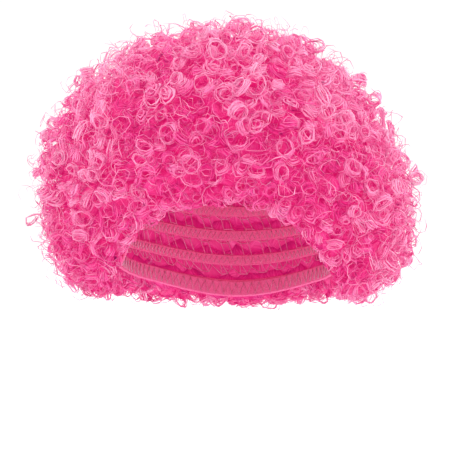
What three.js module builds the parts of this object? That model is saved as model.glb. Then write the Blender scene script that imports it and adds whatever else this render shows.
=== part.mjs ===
// A curly clown's wig: a stretch-net cap with an elastic edge, and rows of curled fibre sewn round it.
// Millimetres, +Z up, the face opening towards -Y. The origin is on the inside of the crown,
// where the top of the head touches the cap.
import * as THREE from 'three';

// Head and cap
const headWidth = 154;
const headLength = 194;
const crownToTemples = 105; // from the crown down to the widest level of the head
const capWall = 1.6;
const capDrop = 150; // from the crown down to the cap's edge at the nape
const bandWidth = 12;
const bandWall = 2.4; // the band's outside is flush with the cap's, so it stands proud inside
const bandGap = 0.3; // between the cap's edge and the band sewn to it

// Hair: how far it stands off the cap
const hairTop = 57;
const hairFront = 34;
const hairSide = 57.5;
const hairBack = 51;
const napeHang = 13; // how far it hangs below the cap's edge at the nape
const rimLip = 8; // its thickness where it ends at the cap's edge

// Rows of locks, from the crown down: how many locks go round the head in each.
// Where two neighbouring rows have the same number, their locks interlock like a honeycomb.
const locksInRow = [7, 14, 14, 21, 21, 28, 28, 28, 28, 28, 28];
const rowCount = locksInRow.length;
const mostLocks = Math.max(...locksInRow);
const crownShare = 0.05; // of the way from the crown to the rim: the tuft on top
const rowGap = 1.2;
const seatGap = 1; // between the cap and the hair sewn to it
const interlock = 0.014; // of the way from the crown to the rim

// A lock's end, as shares of the hair's depth there: the furrow round it, its crest and its hollow eye
const furrow = 0.2;
const eye = 0.13;
const swirl = 0.1; // how much the crest falls on its way round
const unevenness = 0.09;
const crestSpread = 0.62; // of the lock's half width

// The hair's outline in a half plane at each turn from the forehead (0) past the ear (90) to the nape (180).
// level: height of the widest place, tuck: height of the lowest place, both as shares of the whole drop.
// tuckReach: distance of the lowest place from the axis, as a share of the widest.
// rim: height of the cap's edge, as a share of the cap's drop.
const outline = [
  { turn: 0, level: 0.15, tuck: 0.375, tuckReach: 0.79, rim: 0.355 },
  { turn: 25, level: 0.19, tuck: 0.445, tuckReach: 0.785, rim: 0.415 },
  { turn: 45, level: 0.28, tuck: 0.635, tuckReach: 0.76, rim: 0.585 },
  { turn: 62, level: 0.36, tuck: 0.8, tuckReach: 0.73, rim: 0.73 },
  { turn: 90, level: 0.42, tuck: 0.875, tuckReach: 0.7, rim: 0.79 },
  { turn: 130, level: 0.44, tuck: 0.93, tuckReach: 0.73, rim: 0.89 },
  { turn: 180, level: 0.45, tuck: 1, tuckReach: 0.73, rim: 1 },
];

const capColumns = 40;
const bandRings = 3;

const degree = Math.PI / 180;
const halfTurn = Math.PI;
const fullTurn = 2 * Math.PI;

const outlineColumns = ['level', 'tuck', 'tuckReach', 'rim'];
const pastNape = { ...outline.at(-2), turn: 360 - outline.at(-2).turn }; // the other side mirrors this one
const outlineRows = [...outline, pastNape];
const outlineCurve = new THREE.CubicInterpolant(
  Float32Array.from(outlineRows, (row) => row.turn),
  Float32Array.from(outlineRows.flatMap((row) => outlineColumns.map((name) => row[name]))),
  outlineColumns.length,
);
outlineCurve.settings = { endingStart: THREE.ZeroSlopeEnding };

// Radius of an oval with half axes across (X) and along (Y), at a turn from the front in radians.
function ovalRadius(turn, across, along) {
  return 1 / Math.hypot(Math.sin(turn) / across, Math.cos(turn) / along);
}

// The point of a half plane's (reach, height) at a turn from the front.
function inSpace(turn, reach, height) {
  return new THREE.Vector3(reach * Math.sin(turn), -reach * Math.cos(turn), height);
}

// The head's radius at its widest level.
function headReach(turn) {
  return ovalRadius(turn, headWidth / 2, headLength / 2);
}

// A repeatable number from -1 to 1 for each pair of whole numbers.
function scatter(a, b) {
  const wave = Math.sin(a * 12.9898 + b * 78.233) * 43758.5453;
  return 2 * (wave - Math.floor(wave)) - 1;
}

// The half plane at one turn: the cap's curve and the hair's outline, both running from crown to rim.
class HalfPlane {
  constructor(turn) {
    this.turn = turn;
    const fromFront = Math.abs(turn % fullTurn);
    const folded = fromFront > halfTurn ? fullTurn - fromFront : fromFront;
    const [level, tuck, tuckReach, rim] = outlineCurve.evaluate(folded / degree);
    const drop = capDrop + napeHang;
    const inFront = Math.cos(turn) > 0;
    this.rimHeight = -rim * capDrop;
    this.capReach = headReach(turn);
    const widest = ovalRadius(
      turn,
      headWidth / 2 + capWall + hairSide,
      headLength / 2 + capWall + (inFront ? hairFront : hairBack),
    );
    const lowest = widest * tuckReach;
    const top = capWall + hairTop;
    const rimReach = this.capPoint(1, capWall + rimLip).x;
    this.outside = new THREE.Path();
    this.outside.absellipse(0, -level * drop, widest, top + level * drop, 90 * degree, 0, true);
    this.outside.absellipse(
      lowest, -level * drop, widest - lowest, (tuck - level) * drop, 0, -90 * degree, true);
    this.outside.absellipse(
      lowest, this.rimHeight, lowest - rimReach, this.rimHeight + tuck * drop,
      -90 * degree, -180 * degree, true);
  }

  // The angle from the crown, seen from the middle of the head, at a share of the way to the rim.
  capAngle(share) {
    return share * Math.acos((this.rimHeight + crownToTemples) / crownToTemples);
  }

  // A point at a share of the way from crown to rim, at a height above the head.
  capPoint(share, above) {
    const angle = this.capAngle(share);
    return new THREE.Vector2(
      (this.capReach + above) * Math.sin(angle),
      (crownToTemples + above) * Math.cos(angle) - crownToTemples,
    );
  }

  // A distance along the cap as a share of the way from crown to rim.
  capShare(distance) {
    return distance / (crownToTemples * this.capAngle(1));
  }

  // Where the lock at this share of the hair's outline is rooted on the cap.
  root(share) {
    return this.capPoint(share, capWall + seatGap);
  }

  // The tip of the hair at this share of its outline, sunk by a share of its depth.
  tip(share, sunk) {
    return this.outside.getPointAt(share).lerp(this.root(share), sunk);
  }

  // The furrow at this share of the hair's outline, shifted across the hair towards the rim.
  furrowPoint(share, shift) {
    const along = this.outside.getPointAt(share).sub(this.root(share)).normalize();
    return this.tip(share, furrow).add(new THREE.Vector2(along.y, -along.x).multiplyScalar(shift));
  }
}

const planes = new Map();
function halfPlane(turn) {
  if (!planes.has(turn)) planes.set(turn, new HalfPlane(turn));
  return planes.get(turn);
}

// Faces collected by their corners, each counterclockwise from outside.
class Skin {
  constructor() {
    this.corners = [];
  }

  triangle(a, b, c) {
    for (const p of [a, b, c]) this.corners.push(p.x, p.y, p.z);
  }

  // A closed band between two rings of equal length, seen from the side where the first ring lies
  // above the second. Each patch is halved along its falling diagonal or its rising one.
  band(upper, lower, falling = true) {
    const n = upper.length;
    for (let i = 0; i < n; i++) {
      const next = (i + 1) % n;
      if (falling) {
        this.triangle(upper[i], lower[i], lower[next]);
        this.triangle(upper[i], lower[next], upper[next]);
      } else {
        this.triangle(upper[i], lower[i], upper[next]);
        this.triangle(lower[i], lower[next], upper[next]);
      }
    }
  }

  // A fan from a ring, counterclockwise from outside, to a point.
  fan(ring, point) {
    ring.forEach((p, i) => this.triangle(p, ring[(i + 1) % ring.length], point));
  }

  geometry() {
    const made = new THREE.BufferGeometry();
    made.setAttribute('position', new THREE.Float32BufferAttribute(this.corners, 3));
    made.computeVertexNormals();
    return made;
  }
}

function turns(count) {
  return Array.from({ length: count }, (_, i) => (fullTurn * i) / count);
}

// A ring of points round the head at a share of the cap and a height above the head.
function capRing(columns, shareAt, above) {
  return turns(columns).map((turn) => {
    const plane = halfPlane(turn);
    return inSpace(turn, ...plane.capPoint(shareAt(plane), above));
  });
}

// The hair's outline is cut into rows here, from the crown down.
function parting(row) {
  return crownShare + ((1 - crownShare) * row) / rowCount;
}

// The parting's place at one of the columns that two neighbouring rows share.
function zigzag(row, column) {
  const shared = locksInRow[row - 1] === locksInRow[row];
  const side = (row + column) % 2 === 0 ? 1 : -1;
  return parting(row) + (shared ? side * interlock : 0);
}

function netCap() {
  const skin = new Skin();
  const shares = [];
  for (let row = 0; row < rowCount - 1; row++) shares.push(() => parting(row));
  shares.push((plane) => 1 - plane.capShare(bandWidth + bandGap));
  const outside = shares.map((share) => capRing(capColumns, share, capWall));
  const inside = shares.map((share) => capRing(capColumns, share, 0));
  const last = shares.length - 1;
  skin.fan(outside[0], new THREE.Vector3(0, 0, capWall));
  skin.fan([...inside[0]].reverse(), new THREE.Vector3(0, 0, 0));
  for (let i = 0; i < last; i++) {
    skin.band(outside[i], outside[i + 1]);
    skin.band(inside[i + 1], inside[i]);
  }
  skin.band(outside[last], inside[last]);
  return skin.geometry();
}

function edgeBand() {
  const skin = new Skin();
  const rings = [];
  for (let i = 0; i < bandRings; i++) {
    const beforeEdge = bandWidth * (1 - i / (bandRings - 1));
    const share = (plane) => 1 - plane.capShare(beforeEdge);
    rings.push({
      outside: capRing(capColumns, share, capWall),
      inside: capRing(capColumns, share, capWall - bandWall),
    });
  }
  rings.slice(1).forEach((ring, i) => {
    skin.band(rings[i].outside, ring.outside);
    skin.band(ring.inside, rings[i].inside);
  });
  skin.band(rings[0].inside, rings[0].outside);
  skin.band(rings.at(-1).outside, rings.at(-1).inside);
  return skin.geometry();
}

// Rings of points along a parting, on its rim side (1) or its crown side (-1):
// at the furrow between the tips, and at the roots.
function partingRings(row, columns, side) {
  const shift = row === rowCount ? 0 : (side * rowGap) / 2;
  const ringOf = (pointIn) => turns(columns).map((turn, column) => {
    return inSpace(turn, ...pointIn(halfPlane(turn), zigzag(row, column)));
  });
  return {
    tips: ringOf((plane, share) => plane.furrowPoint(share, shift)),
    roots: ringOf((plane, share) => plane.root(share + plane.capShare(shift))),
  };
}

function middleOf(points) {
  return points
    .reduce((sum, p) => sum.add(p), new THREE.Vector3())
    .divideScalar(points.length);
}

// One lock's end inside its border in the furrow: a crest that falls as it goes round, and a hollow
// eye. The border's points and their roots are given counterclockwise from outside.
function lockEnd(skin, border, roots, seed) {
  const heart = middleOf(border);
  const root = middleOf(roots);
  const peak = 1 - (unevenness * (1 + scatter(seed, 1))) / 2;
  const start = Math.floor((border.length * (1 + scatter(seed, 2))) / 2);
  const along = (foot, tip, height) => foot.clone().lerp(tip, height / (1 - furrow));
  const crest = border.map((corner, i) => {
    const height = peak - (swirl * ((i + start) % border.length)) / border.length;
    return along(root, heart, height).lerp(along(roots[i], corner, height), crestSpread);
  });
  border.forEach((corner, i) => {
    const next = (i + 1) % border.length;
    skin.triangle(corner, border[next], crest[next]);
    skin.triangle(corner, crest[next], crest[i]);
  });
  skin.fan(crest, along(root, heart, peak - eye));
}

// A row of locks round the head, fused side by side on the strip that is sewn to the cap.
function curlRow(row) {
  const columns = 2 * locksInRow[row];
  const upper = partingRings(row, columns, 1);
  const lower = partingRings(row + 1, columns, -1);
  const skin = new Skin();
  for (let lock = 0; lock < locksInRow[row]; lock++) {
    const at = [0, 1, 2].map((step) => (2 * lock + (row % 2) + step) % columns);
    const border = (end) => [...at.map((i) => lower[end][i]), ...at.map((i) => upper[end][i]).reverse()];
    lockEnd(skin, border('tips'), border('roots'), row * mostLocks + lock);
  }
  skin.band(upper.roots, upper.tips, false); // its patches match those of the row above
  skin.band(lower.tips, lower.roots);
  skin.band(lower.roots, upper.roots);
  return skin.geometry();
}

// The tuft on the crown: one round lock.
function crownTuft() {
  const columns = 12;
  const { tips, roots } = partingRings(0, columns, -1);
  const skin = new Skin();
  lockEnd(skin, tips, roots, rowCount * mostLocks);
  skin.band(tips, roots);
  skin.fan([...roots].reverse(), new THREE.Vector3(0, 0, capWall + seatGap));
  return skin.geometry();
}

const netFabric = new THREE.MeshStandardMaterial({ color: 0xd8246f, roughness: 0.85, metalness: 0 });
const elastic = new THREE.MeshStandardMaterial({ color: 0xe23a82, roughness: 0.8, metalness: 0 });
const curledFibre = new THREE.MeshStandardMaterial({ color: 0xf0569a, roughness: 0.5, metalness: 0 });

function piece(name, geometry, material) {
  const mesh = new THREE.Mesh(geometry, material);
  mesh.name = name;
  return mesh;
}

const wig = new THREE.Group();
wig.add(piece('net_cap', netCap(), netFabric));
wig.add(piece('edge_band', edgeBand(), elastic));
wig.add(piece('crown_tuft', crownTuft(), curledFibre));
for (let row = 0; row < rowCount; row++) {
  const name = `curl_row_${String(row + 1).padStart(2, '0')}`;
  wig.add(piece(name, curlRow(row), curledFibre));
}

export default wig;
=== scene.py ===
# %% [markdown]
# # A curly clown's wig
# The real wig is a stretch-net cap with an elastic edge. Rows of curled plastic fibre, called wefts,
# are sewn round the cap from the crown down to the edge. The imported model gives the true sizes: a cap,
# an edge band, and a closed ring of blocky locks for each weft. Here each ring is grown into ringlets,
# and the cap and band become net, tape, elastic and stitching. Lengths are in metres unless a comment
# says millimetres.

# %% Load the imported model
import math

import bmesh
import bpy
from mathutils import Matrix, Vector


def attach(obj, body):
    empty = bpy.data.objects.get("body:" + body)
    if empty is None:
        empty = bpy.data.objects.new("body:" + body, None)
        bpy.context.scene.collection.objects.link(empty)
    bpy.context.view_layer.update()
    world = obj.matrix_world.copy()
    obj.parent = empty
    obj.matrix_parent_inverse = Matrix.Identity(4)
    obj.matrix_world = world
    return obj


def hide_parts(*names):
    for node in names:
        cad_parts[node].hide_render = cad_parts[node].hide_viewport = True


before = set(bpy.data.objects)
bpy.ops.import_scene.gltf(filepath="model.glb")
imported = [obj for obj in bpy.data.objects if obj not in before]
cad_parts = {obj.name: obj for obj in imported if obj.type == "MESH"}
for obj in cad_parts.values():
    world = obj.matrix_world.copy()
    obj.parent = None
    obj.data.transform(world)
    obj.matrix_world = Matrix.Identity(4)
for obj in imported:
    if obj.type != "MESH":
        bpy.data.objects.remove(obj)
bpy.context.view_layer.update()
hair_nodes = sorted(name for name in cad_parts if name.startswith(("crown_tuft", "curl_row_")))
print("hair nodes:", hair_nodes)

# %% [markdown]
# ## Camera
# The photo was taken from the front, a little above the head's level and a little to the wearer's left,
# from about 1.6 m. A long lens keeps the wig's proportions. The aim point is given as distances to the
# right and up from the crown, so the wig sits in the frame where it does in the photo.

# %% Camera
AZIMUTH, ELEVATION = math.radians(4), math.radians(6)
CAMERA_DISTANCE = 1.6
SHOWN_WIDTH = 0.3186  # across the frame, at the middle of the head
AIM_RIGHT, AIM_UP = -0.002, -0.0863

back = Vector((math.sin(AZIMUTH) * math.cos(ELEVATION), -math.cos(AZIMUTH) * math.cos(ELEVATION),
               math.sin(ELEVATION)))
right = Vector((math.cos(AZIMUTH), math.sin(AZIMUTH), 0))
up = back.cross(right)
camera_data = bpy.data.cameras.new("camera")
camera_data.sensor_width = 36
camera_data.lens = camera_data.sensor_width * CAMERA_DISTANCE / SHOWN_WIDTH
camera = bpy.data.objects.new("camera", camera_data)
camera.location = AIM_RIGHT * right + AIM_UP * up + CAMERA_DISTANCE * back
camera.rotation_euler = back.to_track_quat("Z", "Y").to_euler()
bpy.context.scene.collection.objects.link(camera)
bpy.context.scene.camera = camera
print("lens", round(camera_data.lens), "mm")

# %% [markdown]
# ## Floor and backdrop
# The photo is high key: a plain white background with no edge in it. A floor that sweeps up into a wall,
# as in a studio, gives an even pale ground at every camera height, which a flat floor would not.

# %% Floor and backdrop
FLOOR_LEVEL = -0.30
FLOOR_FRONT, FLOOR_BACK = -4.0, 2.2
SWEEP_RADIUS, SWEEP_STEPS = 0.8, 10
WALL_TOP = 4.0
HALF_WIDTH = 5.0
PAPER = {"Base Color": (0.93, 0.925, 0.925, 1), "Roughness": 0.9}


def set_inputs(node, values):
    """Sets several inputs of a node by their titles."""
    for title, value in values.items():
        node.inputs[title].default_value = value


def swept_backdrop():
    """A floor that curves up into a wall behind the wig, as one smooth sheet."""
    profile = [(FLOOR_FRONT, 0.0), (FLOOR_BACK, 0.0)]
    for step in range(1, SWEEP_STEPS + 1):
        turn = math.radians(90 * step / SWEEP_STEPS)
        profile.append((FLOOR_BACK + SWEEP_RADIUS * math.sin(turn), SWEEP_RADIUS * (1 - math.cos(turn))))
    profile.append((FLOOR_BACK + SWEEP_RADIUS, WALL_TOP))
    points, faces = [], []
    for depth, height in profile:
        points += [(side, depth, FLOOR_LEVEL + height) for side in (-HALF_WIDTH, HALF_WIDTH)]
    for i in range(len(profile) - 1):
        faces.append((2 * i, 2 * i + 1, 2 * i + 3, 2 * i + 2))
    mesh = bpy.data.meshes.new("backdrop")
    mesh.from_pydata(points, [], faces)
    mesh.shade_smooth()
    return bpy.data.objects.new("backdrop", mesh)


backdrop = swept_backdrop()
bpy.context.scene.collection.objects.link(backdrop)
paper = bpy.data.materials.new("backdrop paper")
paper.use_nodes = True
set_inputs(paper.node_tree.nodes["Principled BSDF"], PAPER)
backdrop.data.materials.append(paper)
print("backdrop:", len(backdrop.data.polygons), "faces")

# %% [markdown]
# ## Light
# The light in the photo is wide and soft, so the gaps between curls stay a deep clear pink and never go
# black. Big area lights in front, three behind that rim the outline, and a white sky give the same.

# %% Light
MIDDLE = Vector((0, 0, -0.05))  # of the wig, which every light faces
SKY_STRENGTH = 1.03


def soft_light(name, place, size, watts):
    """A square area light that faces the middle of the wig."""
    lamp = bpy.data.lights.new(name, "AREA")
    lamp.size = size
    lamp.energy = watts
    holder = bpy.data.objects.new(name, lamp)
    holder.location = place
    holder.rotation_euler = (Vector(place) - MIDDLE).to_track_quat("Z", "Y").to_euler()
    bpy.context.scene.collection.objects.link(holder)


soft_light("key", (-0.9, -1.7, 1.1), 0.9, 7)
soft_light("fill", (1.3, -1.5, 0.4), 1.2, 5)
soft_light("left rim", (-1.5, 0.5, 0.5), 0.8, 9)
soft_light("right rim", (1.5, 0.5, 0.6), 0.8, 9)
soft_light("top rim", (0, 0.9, 1.5), 0.8, 7)
world = bpy.data.worlds.new("white room")
world.use_nodes = True
set_inputs(world.node_tree.nodes["Background"], {"Color": (1, 1, 1, 1), "Strength": SKY_STRENGTH})
bpy.context.scene.world = world
bpy.context.scene.view_settings.view_transform = "Standard"
print("lights:", len(bpy.data.lights))

# %% [markdown]
# ## A small helper for node trees
# Geometry Nodes repeat one ringlet hundreds of times over a surface, which is what the hair needs.
# A tree is a list of nodes and links. The helper adds a node, fills its sockets in order with values or
# links, and gives back its first output, so that a tree reads like a recipe. Every random draw names
# its seed as its last number, so the hair is the same each time.

# %% Helper for node trees
class Tree:
    """A Geometry Nodes tree under construction. Each input is title=(socket kind, value)."""

    def __init__(self, name, **inputs):
        self.group = bpy.data.node_groups.new(name, "GeometryNodeTree")
        face = self.group.interface
        face.new_socket("Geometry", in_out="INPUT", socket_type="NodeSocketGeometry")
        face.new_socket("Geometry", in_out="OUTPUT", socket_type="NodeSocketGeometry")
        for title, (kind, value) in inputs.items():
            socket = face.new_socket(title, in_out="INPUT", socket_type="NodeSocket" + kind)
            if value is not None:
                socket.default_value = value
        self.inputs = self.group.nodes.new("NodeGroupInput").outputs

    def add(self, kind, *values, **settings):
        """Adds a node, fills its sockets in order, and gives back its first output."""
        node = self.group.nodes.new(kind)
        for setting, value in settings.items():
            setattr(node, setting, value)
        for socket, value in zip([s for s in node.inputs if s.enabled], values):
            if isinstance(value, bpy.types.NodeSocket):
                self.group.links.new(value, socket)
            elif value is not None:
                socket.default_value = value
        return next(s for s in node.outputs if s.enabled)

    def math(self, operation, *values):
        return self.add("ShaderNodeMath", *values, operation=operation)

    def vector(self, operation, *values):
        return self.add("ShaderNodeVectorMath", *values, operation=operation)

    def measure(self, operation, *vectors):
        """The number that a vector operation such as LENGTH or DOT_PRODUCT gives."""
        return self.vector(operation, *vectors).node.outputs["Value"]

    def scaled(self, vector, factor):
        return self.vector("SCALE", vector, factor)

    def position(self):
        return self.add("GeometryNodeInputPosition")

    def number(self, low, high, seed):
        """A random number for each element."""
        return self.add("FunctionNodeRandomValue", low, high, None, seed, data_type="FLOAT")

    def triple(self, low, high, seed):
        """A random vector for each element."""
        return self.add("FunctionNodeRandomValue", low, high, None, seed, data_type="FLOAT_VECTOR")

    def store(self, geometry, name, value, kind="FLOAT", domain="POINT"):
        """The geometry with a named value on each of its elements."""
        return self.add("GeometryNodeStoreNamedAttribute", geometry, None, name, value,
                        data_type=kind, domain=domain)

    def stored(self, name, kind="FLOAT"):
        return self.add("GeometryNodeInputNamedAttribute", name, data_type=kind)

    def moved(self, geometry, offset):
        """The geometry with each of its points moved by an offset."""
        return self.add("GeometryNodeSetPosition", geometry, None, None, offset)

    def placed(self, geometry, place):
        """The geometry with each of its points moved to a new place."""
        return self.add("GeometryNodeSetPosition", geometry, None, place)

    def joined(self, parts):
        """Several geometries as one."""
        join = self.group.nodes.new("GeometryNodeJoinGeometry")
        for part in parts:
            self.group.links.new(part, join.inputs[0])
        return join.outputs[0]

    def finish(self, geometry, material):
        """Shades the geometry smooth, gives it its material and makes it the tree's output."""
        smooth = self.add("GeometryNodeSetShadeSmooth", geometry, None, True)
        dressed = self.add("GeometryNodeSetMaterial", smooth, None, self.inputs[material])
        self.group.links.new(dressed, self.group.nodes.new("NodeGroupOutput").inputs[0])


# %% Helpers for meshes
def grown(name, source, tree, **values):
    """The mesh that a tree makes of a source mesh, as a new plain object at the origin."""
    holder = bpy.data.objects.new(name, source)
    bpy.context.scene.collection.objects.link(holder)
    modifier = holder.modifiers.new(tree.group.name, "NODES")
    modifier.node_group = tree.group
    for item in tree.group.interface.items_tree:
        if item.name in values:
            modifier[item.identifier] = values[item.name]
    evaluated = holder.evaluated_get(bpy.context.evaluated_depsgraph_get())
    mesh = bpy.data.meshes.new_from_object(evaluated)
    holder.modifiers.clear()
    holder.data = mesh
    mesh.name = name
    return holder


def triangles(piece):
    """How many triangles a piece has."""
    return sum(len(face.vertices) - 2 for face in piece.data.polygons)


def merged(name, mesh):
    """A copy of a mesh with its doubles merged."""
    shape = bmesh.new()
    shape.from_mesh(mesh)
    bmesh.ops.remove_doubles(shape, verts=shape.verts, dist=1e-6)
    made = bpy.data.meshes.new(name)
    shape.to_mesh(made)
    shape.free()
    return made


# %% [markdown]
# ## Curled fibre
# The fibre is a bright bluish pink plastic with a soft sheen. Light passes from strand to strand, so the
# hollows turn a deep saturated pink and the crests a pale one. Here much of that is painted: the hair
# tree gives deep tones as painted shade and paler ones as painted light. A slight painted glow of that
# deep pink stands for light that is passed on between thousands of strands. Each strand has a tone of
# its own, kept as the second number of its map. The first number runs along the strand, from root to
# tip. Fine streaks along it, in colour, gloss and height, make one thick strand read as several hairs
# side by side.

# %% Curled fibre
TONES = 16  # bands of the map, one for each tone
# from deep to pale; the deep end serves as painted shade for hair in the hollows and beneath
TONE_STOPS = [(0.0, (0.58, 0.007, 0.130)), (0.08, (0.70, 0.050, 0.240)), (0.25, (0.77, 0.165, 0.375)),
              (0.5, (0.785, 0.310, 0.480)), (0.8, (0.80, 0.450, 0.590)), (1.0, (0.82, 0.560, 0.665))]
STREAKS_ALONG, STREAKS_ACROSS = 3, 7  # of the noise, in one strand
STREAK_TONES = 0.2  # how far a streak's tone strays from its strand's
# a painted glow: a deep pink emission that stands for light passed on between strands
PAINTED_GLOW = {"Emission Color": (1.0, 0.02, 0.33, 1), "Emission Strength": 0.25}


def ramp(nodes, stops):
    """A colour ramp node with these places and colours."""
    made = nodes.new("ShaderNodeValToRGB")
    made.color_ramp.elements.remove(made.color_ramp.elements[0])
    made.color_ramp.elements[0].position = stops[0][0]
    made.color_ramp.elements[0].color = (*stops[0][1], 1)
    for place, colour in stops[1:]:
        made.color_ramp.elements.new(place).color = (*colour, 1)
    return made


def new_material(name):
    """A material with its nodes, its links and its main shader."""
    material = bpy.data.materials.new(name)
    material.use_nodes = True
    tree = material.node_tree
    return material, tree.nodes, tree.links, tree.nodes["Principled BSDF"]


def add_relief(nodes, links, source, shader, strength, depth):
    """Bump from a noise, for threads too fine to model."""
    relief = nodes.new("ShaderNodeBump")
    set_inputs(relief, {"Strength": strength, "Distance": depth})
    links.new(source, relief.inputs["Height"])
    links.new(relief.outputs[0], shader.inputs["Normal"])


def add_dullness(nodes, links, source, shader, low, high):
    """A roughness that a noise moves between two values."""
    dull = nodes.new("ShaderNodeMapRange")
    set_inputs(dull, {"To Min": low, "To Max": high})
    links.new(source, dull.inputs["Value"])
    links.new(dull.outputs[0], shader.inputs["Roughness"])


def curled_fibre():
    material, nodes, links, shader = new_material("curled fibre")
    strand = nodes.new("ShaderNodeUVMap")
    strand.uv_map = "OFBake"
    parts = nodes.new("ShaderNodeSeparateXYZ")
    links.new(strand.outputs[0], parts.inputs[0])
    stretched = nodes.new("ShaderNodeMapping")
    stretched.inputs["Scale"].default_value = (STREAKS_ALONG, STREAKS_ACROSS * TONES, 1)
    links.new(strand.outputs[0], stretched.inputs[0])
    streaks = nodes.new("ShaderNodeTexNoise")
    streaks.inputs["Scale"].default_value = 1
    links.new(stretched.outputs[0], streaks.inputs["Vector"])
    shift = nodes.new("ShaderNodeMapRange")
    shift.clamp = False
    set_inputs(shift, {"From Min": 0.25, "From Max": 0.75, "To Min": -STREAK_TONES, "To Max": STREAK_TONES})
    links.new(streaks.outputs[0], shift.inputs["Value"])
    streaked = nodes.new("ShaderNodeMath")
    links.new(parts.outputs["Y"], streaked.inputs[0])
    links.new(shift.outputs[0], streaked.inputs[1])
    tone = ramp(nodes, TONE_STOPS)
    links.new(streaked.outputs[0], tone.inputs[0])
    links.new(tone.outputs[0], shader.inputs["Base Color"])
    add_dullness(nodes, links, streaks.outputs[0], shader, 0.36, 0.56)
    add_relief(nodes, links, streaks.outputs[0], shader, 0.4, 0.0002)
    set_inputs(shader, {"Specular IOR Level": 0.35, **PAINTED_GLOW})
    return material


curls = curled_fibre()
print("fibre:", len(curls.node_tree.nodes), "nodes,", TONES, "tones")

# %% [markdown]
# ## How the hair is grown
# A machine curls the real fibre into small tight ringlets, and each weft is a thick row of them. They
# could be particle hair, but that has no form that can be exported. So Geometry Nodes sow points over
# the outer faces of a lock ring and set a ringlet on each. A second layer is frizz, single fine loops
# that stand off the outline. The third is the dense hair beneath: the lock ring itself, drawn in and
# roughened. All three are measured from two points: the head's middle, so that no strand enters the
# space of the head, and the hair's heart, which the hair points away from.

# %% Helpers that measure from the head
HEAD_MIDDLE = (0, 0, -0.105)
HEAD_REACH = (0.077, 0.097, 0.105)
HAIR_HEART = (0, 0, -0.07)
NOISE_GAIN = 4.0  # noise strays about a quarter from its middle


def from_head(tree):
    """The way from the head's middle, and its length in head radii: 1 on the scalp."""
    away = tree.vector("SUBTRACT", tree.position(), HEAD_MIDDLE)
    return away, tree.measure("LENGTH", tree.vector("DIVIDE", away, HEAD_REACH))


def from_heart(tree):
    """The way from the hair's heart."""
    return tree.vector("SUBTRACT", tree.position(), HAIR_HEART)


def sunk(tree, geometry, share):
    """Moves points towards the scalp by a share of their height over it."""
    away, radii = from_head(tree)
    height = tree.math("MULTIPLY", tree.math("SUBTRACT", radii, 1.0), tree.math("SUBTRACT", 1.0, share))
    factor = tree.math("DIVIDE", tree.math("ADD", height, 1.0), radii)
    return tree.placed(geometry, tree.vector("ADD", tree.scaled(away, factor), HEAD_MIDDLE))


def kept_off(tree, geometry, least):
    """Pushes points that are under this many head radii out to it."""
    away, radii = from_head(tree)
    factor = tree.math("MAXIMUM", tree.math("DIVIDE", least, radii), 1.0)
    return tree.placed(geometry, tree.vector("ADD", tree.scaled(away, factor), HEAD_MIDDLE))


def shaken(tree, geometry, waves, reach):
    """Moves points by smooth noise: waves in a metre, and reach in metres."""
    noise = tree.add("ShaderNodeTexNoise", None, waves, 1.0).node.outputs["Color"]
    offset = tree.vector("SUBTRACT", noise, (0.5, 0.5, 0.5))
    return tree.moved(geometry, tree.scaled(offset, tree.math("MULTIPLY", reach, NOISE_GAIN)))


def scattered(tree, spacing, share, seed):
    """Points on the faces that look away from the hair's heart, and the way outwards there."""
    outwards = tree.vector("NORMALIZE", from_heart(tree))
    facing = tree.measure("DOT_PRODUCT", tree.add("GeometryNodeInputNormal"), outwards)
    outside = tree.add("FunctionNodeCompare", facing, tree.inputs["Facing"], operation="GREATER_THAN")
    no_limit = 1e6
    points = tree.add("GeometryNodeDistributePointsOnFaces", tree.inputs["Geometry"], outside, spacing,
                      no_limit, share, seed, distribute_method="POISSON")
    return points, outwards


# %% [markdown]
# ## Fuller places
# The wig isn't even all round. It stands up higher on the wearer's right than on the left, bulges a
# little at the ears and temples, and draws in at its lower corners. The lock rings could be reshaped
# for this, but a few small swellings are easier to fit to the photo. Each is a direction from the
# hair's heart and how far the hair stands out there.

# %% Fuller places
FULLER = [((-0.85, -0.1, 0.6), 0.004), ((-0.98, -0.1, -0.15), 0.003), ((0.98, -0.1, -0.2), 0.003),
          ((0.85, -0.1, 0.5), -0.006), ((0.6, -0.5, -0.7), 0.003), ((0.75, 0.2, -0.65), -0.004),
          ((-0.7, 0.1, -0.65), -0.005)]
NEAR, FULL = 0.8, 1.0  # cosine of the turn from the direction, where a swelling starts and where it is whole


def fullness(tree, outwards):
    """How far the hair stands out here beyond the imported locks."""
    total = tree.inputs["Stand"]
    for direction, reach in FULLER:
        near = tree.measure("DOT_PRODUCT", outwards, Vector(direction).normalized())
        share = tree.add("ShaderNodeMapRange", near, NEAR, FULL, 0.0, reach, interpolation_type="SMOOTHSTEP")
        total = tree.math("ADD", total, share)
    return total


def stood_out(tree, geometry, outwards):
    """The geometry moved out by the fullness."""
    return tree.moved(geometry, tree.scaled(outwards, fullness(tree, outwards)))


print("fuller places:", len(FULLER))

# %% [markdown]
# ## Ringlet shapes
# A real ringlet is a bundle of fibres that winds round one axis, 8 to 15 mm across. Seen along its axis
# it is a ring of fine lines, and from the side a little barrel or cone. Modelling every fibre would take
# millions of faces. Here one flat ribbon is the bundle, and one or two finer strands that wind beside
# it are the fibres that have left it. Eight shapes are enough, because each copy is scaled and turned.

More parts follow.
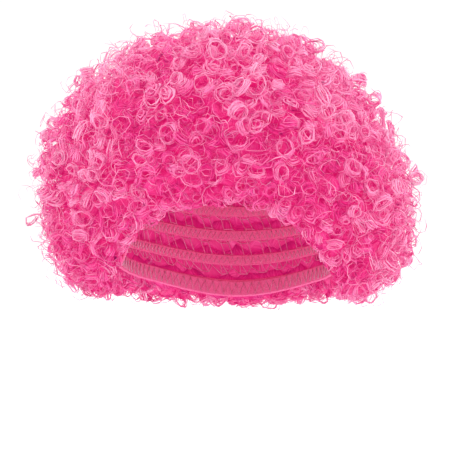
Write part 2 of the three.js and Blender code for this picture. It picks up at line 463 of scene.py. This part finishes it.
# %% Ringlet shapes
# turns, then first and last radius, height and ribbon width in millimetres, and how many finer strands
SHAPES = [(2.5, 5.8, 4.4, 6.0, 1.7, 2), (2.7, 6.2, 1.9, 4.0, 1.6, 1), (2.8, 4.9, 3.8, 6.4, 1.8, 2),
          (1.9, 6.0, 5.2, 3.4, 1.2, 2), (2.6, 5.8, 2.2, 5.2, 1.7, 2), (2.8, 7.0, 2.0, 3.0, 1.4, 1),
          (2.7, 4.0, 2.6, 5.0, 1.6, 2), (1.3, 7.6, 5.2, 4.2, 1.0, 2)]
RIBBON_TILT = 0.55  # how far a ribbon's face turns from the side towards the tip, in radians
RIBBON_FLAT = 0.3  # its thickness as a share of its width
RIBBON_STEPS = 9  # straight pieces in one turn of a ribbon
FINE_STEPS = 8  # and of a fine strand


def strand(tree, steps, turns, first, last, height, width, flat=1.0, turn=0.0, lift=0.0, tone=0.0, tilt=0.0):
    """One strand wound round Z: a thin section swept along a spiral, with its map and tone."""
    line = tree.add("GeometryNodeCurveSpiral", steps, turns, first, last, height, False)
    line = tree.add("GeometryNodeSetCurveNormal", line, None, mode="Z_UP")
    along = tree.add("GeometryNodeSplineParameter")
    line = tree.store(line, "along", along)
    to_end = tree.math("ABSOLUTE", tree.math("SUBTRACT", tree.math("MULTIPLY", along, 2.0), 1.0))
    taper = tree.math("SUBTRACT", 1.0, tree.math("MULTIPLY", tree.math("POWER", to_end, 5.0), 0.7))
    section = tree.add("GeometryNodeCurvePrimitiveCircle", 3, width / 2)
    section = tree.store(section, "round", tree.add("GeometryNodeSplineParameter"))
    section = tree.add("GeometryNodeTransform", section, None, (0.0, 0.0, tilt), (flat, 1.0, 1.0))
    mesh = tree.add("GeometryNodeCurveToMesh", line, section, taper, True)
    mesh = tree.add("GeometryNodeTransform", mesh, (0.0, 0.0, lift - height / 2), (0.0, 0.0, turn))
    return tree.store(mesh, "own", tone)


def ringlet_shapes(tree):
    """Every ringlet shape as an instance: a flat ribbon of fibre with finer strands beside it."""
    shapes = []
    for i, (turns, *lengths, fine_strands) in enumerate(SHAPES):
        first, last, height, width = (length / 1000 for length in lengths)
        pitch = height / turns
        parts = [strand(tree, RIBBON_STEPS, turns, first, last, height, width, flat=RIBBON_FLAT,
                        tilt=RIBBON_TILT)]
        # The finer strands get a paler tone of their own, a painted highlight on the thin lines.
        if fine_strands == 2:
            parts.append(strand(tree, FINE_STEPS, turns * 0.95, first * 0.97, last * 0.97, height * 0.95,
                                0.0008, flat=0.7, turn=0.3, lift=pitch * 0.5, tone=0.18))
        parts.append(strand(tree, FINE_STEPS, 1.1, first * 1.12, last * 1.15, height * 0.6,
                            0.0005, turn=2.0 + i, lift=pitch * 0.3, tone=0.1))
        shapes.append(tree.add("GeometryNodeGeometryToInstance", tree.joined(parts)))
    return tree.joined(shapes)


print("ringlet shapes:", len(SHAPES))

# %% [markdown]
# ## Clumps, painted shade and painted back light
# Real ringlets cling together in clumps, with gaps in shade between them. Smooth noise over the wig says
# where they are. In a gap fewer ringlets are sown, they lie deeper and their tone is painted darker, as
# painted shade. Towards the sides and the top the hair is thin against the light from behind, so its tone
# is painted a little paler there, as painted back light.

# %% Clumps, painted shade and painted back light
CLUMP_WAVES = 42.0  # in a metre, so about 25 mm from one clump to the next
CLUMP_SHIFT = (0.0, 0.0, 0.3)  # of the noise, so that gaps fall at the top of the front, as in the photo
# where the painted back light starts and ends, and how much tone it adds there
PALER_FROM, PALER_TO = 0.07, 0.135  # distances from the line from front to back through the heart
LEAST_PALER, MOST_PALER = -0.02, 0.12


def clumps(tree):
    """From -1 in the gaps between clumps to 1 on their crests."""
    place = tree.vector("ADD", tree.position(), CLUMP_SHIFT)
    noise = tree.add("ShaderNodeTexNoise", place, CLUMP_WAVES, 1.0)
    return tree.add("ShaderNodeMapRange", noise, 0.36, 0.56, -1.0, 1.0, interpolation_type="SMOOTHSTEP")


def painted_back_light(tree):
    """How much tone the sides and the top gain, as painted back light."""
    distance = tree.measure("LENGTH", tree.vector("MULTIPLY", from_heart(tree), (1, 0, 1)))
    return tree.add("ShaderNodeMapRange", distance, PALER_FROM, PALER_TO, LEAST_PALER, MOST_PALER)


# %% [markdown]
# ## The layer of ringlets
# Each ringlet stands on the surface, leans up to about 50 degrees either way and is spun at random,
# because no two on the real wig lie alike. How deep it sits is random too, a little deeper in a gap, and
# a deeper ringlet is painted darker, as painted shade for the light that reaches it less. One in a gap
# is painted darker too, and one at the sides or top paler, as painted back light.

# %% The layer of ringlets
GAP_SHARE = 0.4  # of the ringlets that is sown in the middle of a gap
CLUMP_RISE = 0.45  # how much a crest lifts its ringlets, against their random depth
RINGLET_TONES = (0.16, 0.37)
# painted shade: tone taken off a ringlet for its depth and for lying in a gap
DEEP_SHADE, CLUMP_SHADE = 0.24, 0.19
LEAST_GROWN, MOST_GROWN = (0.8, 0.8, 0.75), (1.25, 1.25, 1.3)


def leaning(tree, outwards):
    """A rotation that stands a ringlet up, leans it and spins it."""
    upright = tree.add("FunctionNodeAlignRotationToVector", None, 1.0, outwards, axis="Z")
    lean = tree.scaled(tree.triple((-1, -1, 0), (1, 1, 0), 13), tree.inputs["Lean"])
    turned = tree.add("FunctionNodeRotateRotation", upright, tree.add("FunctionNodeEulerToRotation", lean),
                      rotation_space="LOCAL")
    spun = tree.add("FunctionNodeEulerToRotation", tree.triple((0, 0, -math.pi), (0, 0, math.pi), 16))
    return tree.add("FunctionNodeRotateRotation", turned, spun, rotation_space="LOCAL")


def ringlet_layer(tree):
    """Ringlets of every shape over the outer faces, leaning each its own way."""
    size = tree.inputs
    clump = tree.math("MULTIPLY", size["Clump"], clumps(tree))
    share = tree.add("ShaderNodeMapRange", clump, -1.0, -0.4, GAP_SHARE, 1.0)
    axes, outwards = scattered(tree, size["Spacing"], share, size["Seed"])
    axes = tree.store(axes, "clump", clump)
    by_chance = tree.math("POWER", tree.number(0.0, 1.0, 11), 1.4)
    lifted = tree.math("MULTIPLY", tree.stored("clump"), CLUMP_RISE)
    axes = tree.store(axes, "sunk", tree.math("SUBTRACT", by_chance, lifted))
    axes = sunk(tree, axes, tree.math("MULTIPLY", tree.stored("sunk"), size["Depth"]))
    axes = kept_off(tree, axes, size["Clear"])
    axes = stood_out(tree, axes, outwards)
    # painted shade for depth and gaps, less the painted back light at the sides and top
    shade = tree.math("SUBTRACT", tree.math("MULTIPLY", tree.stored("sunk"), DEEP_SHADE),
                      tree.math("MULTIPLY", tree.stored("clump"), CLUMP_SHADE))
    shade = tree.math("SUBTRACT", shade, painted_back_light(tree))
    tone = tree.math("SUBTRACT", tree.number(*RINGLET_TONES, 12), shade)
    axes = tree.store(axes, "tone", tree.math("MAXIMUM", tone, 0.0))
    picked = tree.add("FunctionNodeRandomValue", 0, len(SHAPES) - 1, None, 17, data_type="INT")
    ringlets = tree.add("GeometryNodeInstanceOnPoints", axes, None, ringlet_shapes(tree), True, picked,
                        leaning(tree, outwards), tree.triple(LEAST_GROWN, MOST_GROWN, 14))
    return tree.add("GeometryNodeRealizeInstances", ringlets)


# %% [markdown]
# ## Frizz
# Round the outline of the real wig stands a haze of single fibres that have left their ringlets. Each is
# a fine loop, open by a fifth, turned any way, stretched at random and painted paler than the ringlets,
# as painted light for single fibres lit from behind.

# %% Frizz
FRIZZ_TURNS, FRIZZ_RADIUS, FRIZZ_HEIGHT, FRIZZ_WIDTH = 0.8, 0.0058, 0.005, 0.00045
FRIZZ_OFFSETS = (-0.003, 0.007)  # how far it sits off the surface
# above the ringlets' tones, as painted back light on single fibres, with a random spread
FRIZZ_TONES = (0.2, 0.7)
FRIZZ_SHARE = 0.8
FRIZZ_SEEDS = 40.0  # between the seeds of ringlets and of frizz


def frizz_layer(tree):
    """Single fine loops that stand off the surface."""
    size = tree.inputs
    seed = tree.math("ADD", size["Seed"], FRIZZ_SEEDS)
    spots, outwards = scattered(tree, size["Frizz Spacing"], FRIZZ_SHARE, seed)
    offset = tree.math("ADD", fullness(tree, outwards), tree.number(*FRIZZ_OFFSETS, 21))
    spots = tree.moved(spots, tree.scaled(outwards, offset))
    spots = tree.store(spots, "tone", tree.math("ADD", tree.number(*FRIZZ_TONES, 24), painted_back_light(tree)))
    loop = strand(tree, FINE_STEPS, FRIZZ_TURNS, FRIZZ_RADIUS, FRIZZ_RADIUS, FRIZZ_HEIGHT, FRIZZ_WIDTH)
    turned = tree.add("FunctionNodeEulerToRotation", tree.triple((-4, -4, -4), (4, 4, 4), 22))
    loops = tree.add("GeometryNodeInstanceOnPoints", spots, None,
                     tree.add("GeometryNodeGeometryToInstance", loop), None, None, turned,
                     tree.triple((0.5, 0.5, 0.2), (1.25, 1.25, 1.2), 23))
    return tree.add("GeometryNodeRealizeInstances", loops)


# %% [markdown]
# ## The hair beneath
# Between the ringlets one sees more hair, deep and in shade, and never the cap. Sowing enough strands to
# close it would double the triangles. The lock ring itself does it, drawn in towards the scalp, most
# of all in the gaps between clumps, and shaken into an uneven mat. Its mottled deep tones are painted
# shade, mottled at random.

# %% The hair beneath
GAP_DRAW = 0.08  # how much further the hair beneath is drawn in where there is a gap
BENEATH_CLEAR = 1.03  # head radii
# the shift holds the mottle in the deepest tones, a painted shade
MOTTLE_TONES, MOTTLE_SHIFT = 0.7, 0.35


def hair_beneath(tree):
    """The lock ring drawn in towards the scalp and roughened, in the deepest tones as painted shade."""
    size = tree.inputs
    dense = tree.add("GeometryNodeSubdivideMesh", size["Geometry"], 1)
    outwards = tree.vector("NORMALIZE", from_heart(tree))
    dense = stood_out(tree, dense, outwards)
    gap = tree.math("MAXIMUM", tree.math("MULTIPLY", clumps(tree), -1.0), 0.0)
    gap = tree.math("MULTIPLY", size["Clump"], gap)
    dense = sunk(tree, dense, tree.math("ADD", size["Draw In"], tree.math("MULTIPLY", gap, GAP_DRAW)))
    dense = shaken(tree, dense, 55.0, 0.003)
    dense = shaken(tree, dense, 160.0, 0.0018)
    dense = kept_off(tree, dense, BENEATH_CLEAR)
    across = tree.add("ShaderNodeTexNoise", None, 260.0, 2.0)
    mottle = tree.math("MULTIPLY", tree.add("ShaderNodeTexNoise", None, 150.0, 2.0), MOTTLE_TONES)
    place = tree.add("ShaderNodeCombineXYZ", across, tree.math("SUBTRACT", mottle, MOTTLE_SHIFT), 0.0)
    return tree.store(dense, "OFBake", place, kind="FLOAT2", domain="CORNER")


# %% [markdown]
# ## One tree for all the hair
# The strands get their map, are bent a little and crimped finely by noise, which real curled fibre never
# lacks, and are kept off the head. One tree with named inputs makes every row, so that a row near the
# crown or the edge can differ by a number or two.

# %% The hair tree
STRAND_CLEAR = 1.045  # head radii
BEND_WAVES, CRIMP_WAVES = 80.0, 330.0  # in a metre


def mapped(tree, strands):
    """Gives strands their map: how far along, and in the band of their tone, how far round."""
    tone = tree.math("ADD", tree.stored("tone"), tree.stored("own"))
    band = tree.math("FLOOR", tree.math("MULTIPLY", tree.math("MINIMUM", tone, 0.99), float(TONES)))
    across = tree.math("ADD", tree.math("MULTIPLY", tree.stored("round"), 0.8), 0.1)
    place = tree.add("ShaderNodeCombineXYZ", tree.stored("along"),
                     tree.math("DIVIDE", tree.math("ADD", band, across), float(TONES)), 0.0)
    return tree.store(strands, "OFBake", place, kind="FLOAT2", domain="CORNER")


def hair_tree():
    """The whole hair of one row, from its lock ring."""
    tree = Tree("wig hair", **{
        "Spacing": ("Float", 0.0098), "Lean": ("Float", 0.9), "Depth": ("Float", 0.17),
        "Bend": ("Float", 0.0016), "Crimp": ("Float", 0.0009), "Frizz Spacing": ("Float", 0.0066),
        "Stand": ("Float", 0.0012), "Facing": ("Float", 0.1), "Clump": ("Float", 1.0),
        "Clear": ("Float", 1.12), "Draw In": ("Float", 0.235), "Seed": ("Int", 1),
        "Fibre": ("Material", None)})
    strands = mapped(tree, tree.joined([ringlet_layer(tree), frizz_layer(tree)]))
    strands = shaken(tree, strands, BEND_WAVES, tree.inputs["Bend"])
    strands = shaken(tree, strands, CRIMP_WAVES, tree.inputs["Crimp"])
    strands = kept_off(tree, strands, STRAND_CLEAR)
    tree.finish(tree.joined([strands, hair_beneath(tree)]), "Fibre")
    return tree


wig_hair = hair_tree()
print("hair tree:", len(wig_hair.group.nodes), "nodes")

# %% [markdown]
# ## Growing each row
# Most rows are grown alike. Towards the crown the hair beneath stays higher, so that no light comes
# through from inside. Towards the edge the clumps are weaker, and the last two rows bear hair on more of
# their faces and closer to the head, because from below one sees round them to the elastic.

# %% Grow the hair
OWN_VALUES = {
    "crown_tuft": {"Draw In": 0.17},
    "curl_row_01": {"Draw In": 0.18},
    "curl_row_02": {"Draw In": 0.2},
    "curl_row_08": {"Clump": 0.8},
    "curl_row_09": {"Clump": 0.6},
    "curl_row_10": {"Facing": -0.25, "Clear": 1.08, "Clump": 0.5},
    "curl_row_11": {"Facing": -0.95, "Clear": 1.04, "Spacing": 0.0082, "Clump": 0.5}}
USED_UP = ("clump", "sunk", "tone", "own", "along", "round")  # values that only the tree needs

hair = []
for number, node in enumerate(hair_nodes):
    source = merged(node + " copy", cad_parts[node].data)
    piece = grown("curls_" + node[-2:] if node[-1].isdigit() else "curls_crown", source, wig_hair,
                  Seed=number + 1, Fibre=curls, **OWN_VALUES.get(node, {}))
    for name in [layer.name for layer in piece.data.attributes]:
        if name in USED_UP:
            piece.data.attributes.remove(piece.data.attributes[name])
    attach(piece, "root")
    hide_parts(node)
    hair.append(piece)
    print(piece.name, triangles(piece), "triangles")
print("hair in all:", sum(triangles(piece) for piece in hair), "triangles")

# %% [markdown]
# ## The cap's net
# Inside, the wig is a soft net that stretches over the head. A net's threads meet in hexagons. The dual
# of a mesh of triangles is a mesh of hexagons, so the cap's own inner triangles, made finer, give the
# net, and Geometry Nodes turn its edges into threads. A picture of a net would be flat from close by. It
# is all hidden when the wig is worn, and shows from below. The threads are matte, with a fine grain.

# %% Matte cloth
def woven(name, deep, pale, grains, roughness, relief):
    """Matte cloth with a fine irregular grain on object coordinates."""
    material, nodes, links, shader = new_material(name)
    where = nodes.new("ShaderNodeTexCoord")
    grain = nodes.new("ShaderNodeTexNoise")
    set_inputs(grain, {"Scale": grains, "Detail": 3})
    links.new(where.outputs["Object"], grain.inputs["Vector"])
    tint = ramp(nodes, [(0.3, deep), (0.7, pale)])
    links.new(grain.outputs[0], tint.inputs[0])
    links.new(tint.outputs[0], shader.inputs["Base Color"])
    add_dullness(nodes, links, grain.outputs[0], shader, roughness - 0.1, roughness + 0.1)
    add_relief(nodes, links, grain.outputs[0], shader, 0.5, relief)
    set_inputs(shader, {"Specular IOR Level": 0.25})
    return material


net_thread = woven("net thread", (0.80, 0.130, 0.340), (0.92, 0.280, 0.500), 900, 0.75, 0.0001)
print("cloth:", net_thread.name)

# %% The net
NET_CLEAR = 1.009  # head radii
CAP_INSIDE = 1.006  # the cap's inner corners lie under this many
HEAD = Vector(HEAD_MIDDLE)


def share_of(point):
    """Distance from the head's middle in head radii."""
    away = Vector(point) - HEAD
    return Vector((away.x / HEAD_REACH[0], away.y / HEAD_REACH[1], away.z / HEAD_REACH[2])).length


def only_faces(mesh, wanted):
    """Keeps the faces whose corners all answer to wanted."""
    shape = bmesh.new()
    shape.from_mesh(mesh)
    unwanted = [face for face in shape.faces if not all(wanted(vertex.co) for vertex in face.verts)]
    bmesh.ops.delete(shape, geom=unwanted, context="FACES")
    shape.to_mesh(mesh)
    shape.free()


def thread_along(tree, line):
    """Sweeps a thread of the tree's own width along its lines, and finishes the tree."""
    radius = tree.math("MULTIPLY", tree.inputs["Width"], 0.5)
    section = tree.add("GeometryNodeCurvePrimitiveCircle", 3, radius)
    tree.finish(tree.add("GeometryNodeCurveToMesh", line, section, 1.0, True), "Thread")


def thread_tree():
    """Threads along the edges of the dual of a mesh."""
    tree = Tree("net threads", **{"Width": ("Float", 0.0008), "Finer": ("Int", 1),
                                  "Thread": ("Material", None)})
    finer = tree.add("GeometryNodeSubdivideMesh", tree.inputs["Geometry"], tree.inputs["Finer"])
    cells = tree.add("GeometryNodeDualMesh", finer, False)
    cells = shaken(tree, cells, 120.0, 0.00075)
    cells = kept_off(tree, cells, NET_CLEAR)
    thread_along(tree, tree.add("GeometryNodeMeshToCurve", cells))
    return tree


cap_mesh = merged("cap inside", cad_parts["net_cap"].data)
only_faces(cap_mesh, lambda point: share_of(point) < CAP_INSIDE)
cap_net = grown("cap_net", cap_mesh, thread_tree(), Thread=net_thread)
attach(cap_net, "root")
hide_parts("net_cap")
print("net:", triangles(cap_net), "triangles")

# %% [markdown]
# ## Where each tape runs
# Each weft is sewn to a tape that goes once round the cap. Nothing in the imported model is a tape, but
# where the lock rings stand on the cap, their feet tell where each one runs: midway between the upper
# and the lower foot line, and then smoothed, because a tape can't follow every lock.

# %% Where each tape runs
FOOT_REACH = 1.06  # a lock's feet lie under this many head radii
TAPE_STEPS = 96
SMOOTHINGS = 8


def columns_of(node, digits, reach=math.inf):
    """A node's corners under a reach in head radii, gathered by their turn round the head in degrees."""
    columns = {}
    for vertex in merged(node + " corners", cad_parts[node].data).vertices:
        if share_of(vertex.co) < reach:
            turn = round(math.degrees(math.atan2(vertex.co.x, -vertex.co.y)) % 360, digits)
            columns.setdefault(turn, []).append(vertex.co.copy())
    return [(turn, columns[turn]) for turn in sorted(columns)]


def foot_lines(node):
    """Upper and lower line of a lock ring's feet, each as turns and points in order round the head."""
    upper, lower = [], []
    for turn, points in columns_of(node, 1, FOOT_REACH):
        points.sort(key=lambda point: -point.z)
        upper.append((turn, points[0]))
        lower.append((turn, points[-1]))
    return upper, lower


def at_turn(ring, turn):
    """The point of a ring at a turn, in degrees, on straight lines between its points."""
    for i, (here, point) in enumerate(ring):
        before, earlier = ring[i - 1] if i else (ring[-1][0] - 360, ring[-1][1])
        if before <= turn <= here:
            return earlier.lerp(point, (turn - before) / max(here - before, 1e-6))
    before, earlier = ring[-1]
    return earlier.lerp(ring[0][1], (turn - before) / (ring[0][0] + 360 - before))


def smooth_ring(points):
    """A closed line of points, each drawn a little towards its neighbours."""
    return [(points[i - 1] + 2 * points[i] + points[(i + 1) % len(points)]) / 4 for i in range(len(points))]


def tape_line(node):
    """The line midway between a lock ring's foot lines."""
    upper, lower = foot_lines(node)
    turns = [360 * i / TAPE_STEPS for i in range(TAPE_STEPS)]
    line = [(at_turn(upper, turn) + at_turn(lower, turn)) / 2 for turn in turns]
    for _ in range(SMOOTHINGS):
        line = smooth_ring(line)
    return line


def length_round(line):
    return sum((line[i] - line[i - 1]).length for i in range(len(line)))


tape_lines = [tape_line(node) for node in hair_nodes[1:]]
print("tapes:", len(tape_lines), "longest", round(max(length_round(line) for line in tape_lines), 3), "m")

# %% [markdown]
# ## Weft tapes
# The real tape is a woven ribbon 8 mm wide and under a millimetre thick. A flat section with rounded
# edges, set along each line, is enough: it needs no cloth simulation, because it is sewn flat to the cap.
# On the smallest ring, near the crown, it is narrower.

# %% Tapes
TAPE_WIDTH, TAPE_THICK = 0.008, 0.0009
TAPE_RISE = 0.0006  # from the scalp to the middle of the tape
TAPE_MOST = 0.3  # its width as a share of its ring's diameter
# the section as shares of width and thickness
TAPE_SECTION = [(-0.5, 0.0), (-0.46, 0.5), (0.46, 0.5), (0.5, 0.0), (0.47, -0.42), (0.4, -0.5),
                (-0.4, -0.5), (-0.47, -0.42)]


def on_cap(point, rise):
    """The point moved along its line from the head's middle to a height over the scalp."""
    away = Vector(point) - HEAD
    return HEAD + away * ((1 + rise / away.length * share_of(point)) / share_of(point))


def tube_faces(start, steps, count):
    """Faces from each section of a closed tube to the next: its first point, sections, points in each."""
    faces = []
    for i in range(steps):
        here, after = start + i * count, start + (i + 1) % steps * count
        for j in range(count):
            beside = (j + 1) % count
            faces.append((here + j, here + beside, after + beside, after + j))
    return faces


def smooth_mesh(name, points, faces):
    """A smooth mesh whose faces all point outwards."""
    mesh = bpy.data.meshes.new(name)
    mesh.from_pydata(points, [], faces)
    shape = bmesh.new()
    shape.from_mesh(mesh)
    bmesh.ops.recalc_face_normals(shape, faces=shape.faces)
    shape.to_mesh(mesh)
    shape.free()
    mesh.shade_smooth()
    return mesh


def tape_mesh(lines):
    """Flat bands with rounded edges along closed lines on the cap."""
    points, faces = [], []
    for line in lines:
        faces += tube_faces(len(points), TAPE_STEPS, len(TAPE_SECTION))
        width = min(TAPE_WIDTH, TAPE_MOST * (line[0] - line[TAPE_STEPS // 2]).length)
        for i, point in enumerate(line):
            along = (line[(i + 1) % TAPE_STEPS] - line[i - 1]).normalized()
            out = (on_cap(point, 0.01) - on_cap(point, 0)).normalized()
            across = along.cross(out).normalized()
            for side, height in TAPE_SECTION:
                place = on_cap(point + across * side * width, 0)
                points.append(place + out * (TAPE_RISE + height * TAPE_THICK))
    return smooth_mesh("weft tapes", points, faces)


tape_cloth = woven("tape cloth", (0.80, 0.070, 0.260), (0.95, 0.190, 0.430), 1400, 0.8, 0.00012)
tapes = bpy.data.objects.new("weft_tapes", tape_mesh(tape_lines))
bpy.context.scene.collection.objects.link(tapes)
tapes.data.materials.append(tape_cloth)
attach(tapes, "root")
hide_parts("net_cap")
print("tapes:", triangles(tapes), "triangles")

# %% [markdown]
# ## Zigzag stitches
# A machine sews each tape on with a zigzag, which stretches with the net. Here a closed line is cut into
# equal steps, and its points go left and right by turns. The same tree also serves the elastic edge,
# with a wider reach. On the tapes one zigzag is 4 mm from one turn to the next.

# %% Zigzag stitches
def zigzag_tree():
    """A thread in zigzag along closed lines."""
    tree = Tree("zigzag stitches", **{"Pitch": ("Float", 0.002), "Reach": ("Float", 0.0025),
                                      "Width": ("Float", 0.0006), "Rise": ("Float", 0.0),
                                      "Thread": ("Material", None)})
    line = tree.add("GeometryNodeMeshToCurve", tree.inputs["Geometry"])
    line = tree.add("GeometryNodeResampleCurve", line, None, tree.inputs["Pitch"], mode="LENGTH")
    away, _ = from_head(tree)
    out = tree.vector("NORMALIZE", tree.vector("DIVIDE", away, tuple(r * r for r in HEAD_REACH)))
    across = tree.vector("NORMALIZE", tree.vector("CROSS_PRODUCT", tree.add("GeometryNodeInputTangent"), out))
    by_turns = tree.math("MODULO", tree.add("GeometryNodeInputIndex"), 2.0)
    side = tree.math("SUBTRACT", tree.math("MULTIPLY", by_turns, 2.0), 1.0)
    offset = tree.vector("ADD", tree.scaled(across, tree.math("MULTIPLY", side, tree.inputs["Reach"])),
                         tree.scaled(out, tree.inputs["Rise"]))
    thread_along(tree, tree.moved(line, offset))
    return tree


def ring_mesh(name, lines):
    """Closed lines of edges."""
    points, edges = [], []
    for line in lines:
        start, count = len(points), len(line)
        points += line
        edges += [(start + i, start + (i + 1) % count) for i in range(count)]
    mesh = bpy.data.meshes.new(name)
    mesh.from_pydata(points, edges, [])
    return mesh


sewing_thread = woven("sewing thread", (0.92, 0.400, 0.600), (0.98, 0.600, 0.750), 1800, 0.6, 0.00005)
zigzag = zigzag_tree()
stitch_lines = [[on_cap(point, 0.0) for point in line] for line in tape_lines]
stitches = grown("tape_stitches", ring_mesh("stitch lines", stitch_lines), zigzag, Thread=sewing_thread)
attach(stitches, "root")
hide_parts("net_cap")
print("stitches:", triangles(stitches), "triangles")

# %% [markdown]
# ## The elastic edge
# A knitted elastic 12 mm wide is sewn on along the whole edge while it is stretched, so it gathers in
# fine waves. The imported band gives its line: 40 columns of six corners. A smooth curve through them, and
# a section with eight lengthwise ribs, make the elastic. The ribs are real shape and no bump, because
# they show in the outline of the edge.

# %% The line of the band
BAND_STEPS = 240
BAND_CORNERS = 6  # outer and inner, each from top to bottom
BAND_OUTSIDE = 1.003  # the outer corners lie past this many head radii


def band_columns():
    """The band's corners at each column, in order round the head."""
    ordered = []
    for turn, corners in columns_of("edge_band", 0):
        assert len(corners) == BAND_CORNERS, (turn, len(corners))
        outer = sorted((c for c in corners if share_of(c) > BAND_OUTSIDE), key=lambda c: -c.z)
        inner = sorted((c for c in corners if share_of(c) <= BAND_OUTSIDE), key=lambda c: -c.z)
        ordered.append(outer + inner)
    return ordered


def between(columns, corner, where):
    """A smooth closed curve through one corner of every column, at a place counted in columns."""
    count = len(columns)
    i, f = int(where) % count, where - int(where)
    a, b, c, d = (columns[(i + k) % count][corner] for k in (-1, 0, 1, 2))
    slope = c - a
    bend = 2 * a - 5 * b + 4 * c - d
    twist = 3 * b - a - 3 * c + d
    return 0.5 * (2 * b + slope * f + bend * f * f + twist * f ** 3)


columns = band_columns()
places = [step * len(columns) / BAND_STEPS for step in range(BAND_STEPS)]
print("band:", len(columns), "columns,", len(places), "sections")

# %% Elastic band
RIBS = 8
RIB_HEIGHT, RIB_DEPTH = 0.00022, -0.00012  # of its ridges and its furrows
EDGE_DEPTH = -0.0006  # where it thins to its edges
INSET = 0.00025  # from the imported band, so that ridges and waves stay in its space


def band_mesh():
    """The elastic as a closed tube, with ribs along it and small gathers."""
    points = []
    levels = RIBS * 2 + 1
    for step, where in enumerate(places):
        corners = [between(columns, corner, where) for corner in range(BAND_CORNERS)]
        outward = (corners[1] - corners[4]).normalized()
        gather = 0.00025 * math.sin(step * 2.1) + 0.00015 * math.sin(step * 0.83 + 1)
        for first, sign in ((0, 1), (3, -1)):
            top, middle, bottom = corners[first:first + 3]
            ring = []
            for level in range(levels):
                share = level / (levels - 1)
                place = top.lerp(middle, share * 2) if share < 0.5 else middle.lerp(bottom, share * 2 - 1)
                rib = RIB_HEIGHT if level % 2 else RIB_DEPTH
                edge = EDGE_DEPTH if level in (0, levels - 1) else 0
                ring.append(place + outward * (sign * (rib + edge - INSET) + gather))
            points += ring if sign > 0 else ring[::-1]
    return smooth_mesh("edge elastic", points, tube_faces(0, BAND_STEPS, 2 * levels))


elastic_cloth = woven("ribbed elastic", (0.82, 0.090, 0.290), (0.95, 0.210, 0.450), 1100, 0.75, 0.00015)
elastic = bpy.data.objects.new("edge_elastic", band_mesh())
bpy.context.scene.collection.objects.link(elastic)
elastic.data.materials.append(elastic_cloth)
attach(elastic, "root")
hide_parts("edge_band")
print("elastic:", triangles(elastic), "triangles")

# %% [markdown]
# ## The elastic's seam
# The seam that holds the elastic shows inside, along its middle. It is the same zigzag as on the tapes,
# wide enough to catch most of the elastic, and it bites a little into it.

# %% The elastic's seam
INNER_MIDDLE = 4  # the corner halfway down the band's inside

inner_line = [between(columns, INNER_MIDDLE, where) for where in places]
band_stitches = grown("elastic_stitches", ring_mesh("band line", [inner_line]), zigzag,
                      Reach=0.0042, Pitch=0.003, Rise=-0.0002, Thread=sewing_thread)
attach(band_stitches, "root")
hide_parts("edge_band")
print("elastic stitches:", triangles(band_stitches), "triangles")

# %% [markdown]
# ## Triangles
# The last step adds up the triangles of all the pieces.

# %% Triangles, and the end of the script
pieces = hair + [cap_net, tapes, stitches, elastic, band_stitches]
print("whole wig:", sum(triangles(piece) for piece in pieces), "triangles in", len(pieces), "pieces")
